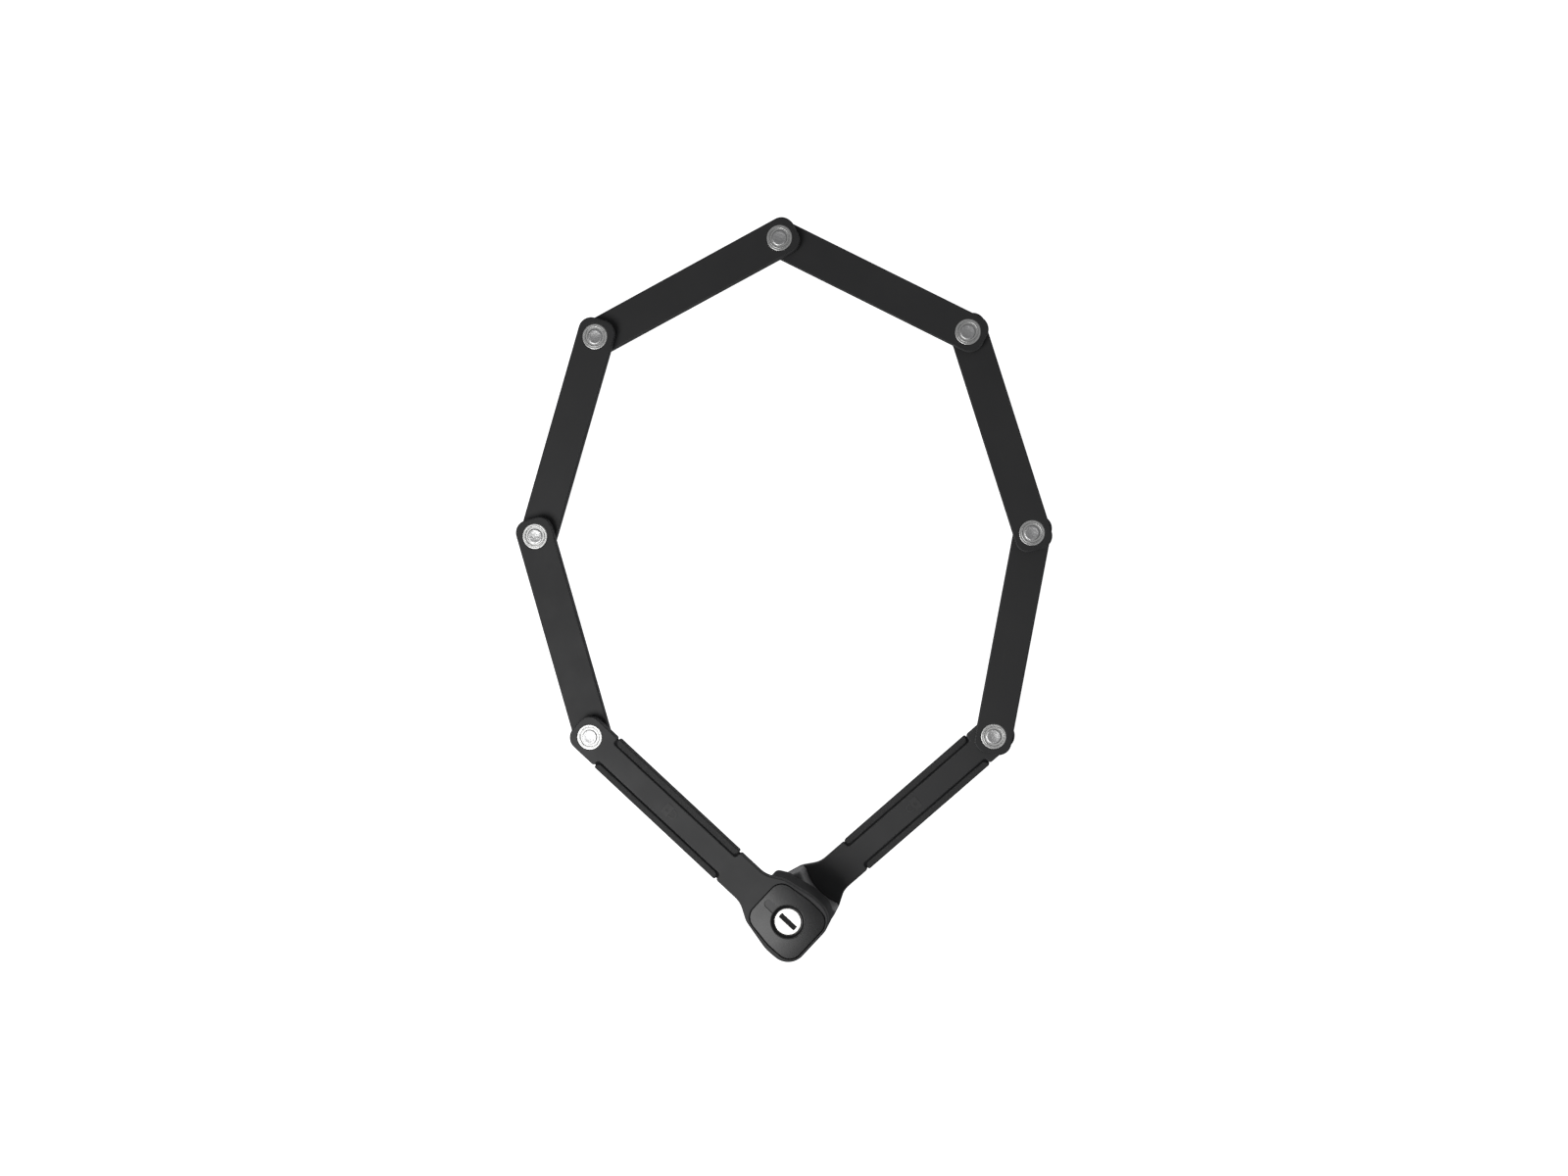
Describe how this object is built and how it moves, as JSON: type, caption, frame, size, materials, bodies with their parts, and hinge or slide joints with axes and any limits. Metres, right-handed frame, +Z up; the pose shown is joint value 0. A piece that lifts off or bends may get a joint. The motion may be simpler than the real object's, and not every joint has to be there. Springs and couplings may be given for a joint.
{
  "type": "folding bike lock",
  "caption": "Folding bicycle lock: black jacketed steel links and two arms riveted in a chain, with a keyed locking head and a socket head closed into a loop.",
  "frame": {"origin": "on the lock axis, at the plane the lock lies on, which is the underside of the socket head", "axes": "+Z up along the lock axis and every rivet, +Y across the loop from the heads to the farthest rivet, +X to the right seen from above"},
  "size_m": [0.254, 0.3507, 0.0396],
  "materials": {
    "link_jacket": "matte",
    "arm_cover": "matte",
    "bumper": "fine stipple",
    "head_cap": "satin gloss",
    "key_housing": "matte",
    "socket_housing": "satin",
    "sleeve": "satin",
    "plug": "satin",
    "rivet_collar": "satin",
    "rivet_pin": "satin",
    "spacer": "satin",
    "steel_core": "satin",
    "hard_steel": "polished",
    "brass": "satin",
    "screw": "satin"
  },
  "bodies": {
    "key_arm": {"key_arm_core": "steel_core", "key_arm_cover": "arm_cover", "key_head_cap": "head_cap", "key_head_housing": "key_housing", "key_head_base": "key_housing", "cylinder_sleeve": "sleeve", "bolt_guide": "brass", "thrust_washer": "spacer", "key_arm_bumper_outer": "bumper", "key_arm_bumper_inner": "bumper", "key_head_screws": "screw"},
    "key_plug": {"plug_shell": "plug", "plug_discs": "brass", "drive_cam": "hard_steel"},
    "lock_bolt": {"lock_bolt": "hard_steel"},
    "rivet_1": {"rivet_1_pin": "rivet_pin", "rivet_1_collars": "rivet_collar", "rivet_1_spacer": "spacer"},
    "rivet_2": {"rivet_2_pin": "rivet_pin", "rivet_2_collars": "rivet_collar", "rivet_2_spacer": "spacer"},
    "rivet_3": {"rivet_3_pin": "rivet_pin", "rivet_3_collars": "rivet_collar", "rivet_3_spacer": "spacer"},
    "rivet_4": {"rivet_4_pin": "rivet_pin", "rivet_4_collars": "rivet_collar", "rivet_4_spacer": "spacer"},
    "rivet_5": {"rivet_5_pin": "rivet_pin", "rivet_5_collars": "rivet_collar", "rivet_5_spacer": "spacer"},
    "rivet_6": {"rivet_6_pin": "rivet_pin", "rivet_6_collars": "rivet_collar", "rivet_6_spacer": "spacer"},
    "rivet_7": {"rivet_7_pin": "rivet_pin", "rivet_7_collars": "rivet_collar", "rivet_7_spacer": "spacer"},
    "link_1": {"link_1_core": "steel_core", "link_1_jacket": "link_jacket"},
    "link_2": {"link_2_core": "steel_core", "link_2_jacket": "link_jacket"},
    "link_3": {"link_3_core": "steel_core", "link_3_jacket": "link_jacket"},
    "link_4": {"link_4_core": "steel_core", "link_4_jacket": "link_jacket"},
    "link_5": {"link_5_core": "steel_core", "link_5_jacket": "link_jacket"},
    "link_6": {"link_6_core": "steel_core", "link_6_jacket": "link_jacket"},
    "socket_arm": {"socket_arm_core": "steel_core", "socket_arm_cover": "arm_cover", "socket_housing": "socket_housing", "socket_bush": "hard_steel", "socket_base": "key_housing", "socket_arm_bumper_inner": "bumper", "socket_arm_bumper_outer": "bumper", "socket_screws": "screw"}
  },
  "joints": [
    {"name": "fold_1", "type": "hinge", "parent": "key_arm", "child": "rivet_1", "pos_m": [-0.0949, 0.0859, 0.0347], "axis": [0, 0, -1], "range_deg": [0, 148.17]},
    {"name": "pivot_1", "type": "hinge", "parent": "rivet_1", "child": "link_1", "pos_m": [-0.0949, 0.0859, 0.0347], "axis": [0, 0, 1], "range_deg": [-124.8, 201.1]},
    {"name": "fold_2", "type": "hinge", "parent": "link_1", "child": "rivet_2", "pos_m": [-0.12222, 0.18105, 0.0297], "axis": [0, 0, 1], "range_deg": [0, 212.74]},
    {"name": "pivot_2", "type": "hinge", "parent": "rivet_2", "child": "link_2", "pos_m": [-0.12222, 0.18105, 0.0297], "axis": [0, 0, 1], "continuous": true},
    {"name": "fold_3", "type": "hinge", "parent": "link_2", "child": "rivet_3", "pos_m": [-0.09375, 0.27587, 0.0247], "axis": [0, 0, -1], "range_deg": [0, 134.31]},
    {"name": "pivot_3", "type": "hinge", "parent": "rivet_3", "child": "link_3", "pos_m": [-0.09375, 0.27587, 0.0247], "axis": [0, 0, 1], "continuous": true},
    {"name": "fold_4", "type": "hinge", "parent": "link_3", "child": "rivet_4", "pos_m": [-0.00601, 0.32172, 0.0197], "axis": [0, 0, 1], "range_deg": [0, 234.29]},
    {"name": "pivot_4", "type": "hinge", "parent": "rivet_4", "child": "link_4", "pos_m": [-0.00601, 0.32172, 0.0197], "axis": [0, 0, 1], "continuous": true},
    {"name": "fold_5", "type": "hinge", "parent": "link_4", "child": "rivet_5", "pos_m": [0.08244, 0.27726, 0.0147], "axis": [0, 0, -1], "range_deg": [0, 134.55]},
    {"name": "pivot_5", "type": "hinge", "parent": "rivet_5", "child": "link_5", "pos_m": [0.08244, 0.27726, 0.0147], "axis": [0, 0, 1], "continuous": true},
    {"name": "fold_6", "type": "hinge", "parent": "link_5", "child": "rivet_6", "pos_m": [0.11279, 0.18302, 0.0097], "axis": [0, 0, 1], "range_deg": [0, 208.11]},
    {"name": "pivot_6", "type": "hinge", "parent": "rivet_6", "child": "link_6", "pos_m": [0.11279, 0.18302, 0.0097], "axis": [0, 0, 1], "range_deg": [-105, 249.9]},
    {"name": "fold_7", "type": "hinge", "parent": "link_6", "child": "rivet_7", "pos_m": [0.09516, 0.0856, 0.0047], "axis": [0, 0, -1], "range_deg": [0, 142.24]},
    {"name": "pivot_7", "type": "hinge", "parent": "rivet_7", "child": "socket_arm", "pos_m": [0.09516, 0.0856, 0.0047], "axis": [0, 0, 1], "range_deg": [-120.7, 205.2]},
    {"name": "key_turn", "type": "hinge", "parent": "key_arm", "child": "key_plug", "pos_m": [0, 0, 0.036], "axis": [0, 0, -1], "range_deg": [0, 90.01]},
    {"name": "bolt_slide", "type": "slide", "parent": "key_arm", "child": "lock_bolt", "axis": [0, 0, -1], "range_m": [0, 0.008]}
  ],
  "couplings": [
    {"joint": "fold_2", "follows": "fold_1", "ratio": 1.4357},
    {"joint": "fold_3", "follows": "fold_1", "ratio": 0.90639},
    {"joint": "fold_4", "follows": "fold_1", "ratio": 1.5812},
    {"joint": "fold_5", "follows": "fold_1", "ratio": 0.90801},
    {"joint": "fold_6", "follows": "fold_1", "ratio": 1.4045},
    {"joint": "fold_7", "follows": "fold_1", "ratio": 0.95988},
    {"joint": "key_turn", "follows": "bolt_slide", "rad_per_m": 196.35}
  ]
}
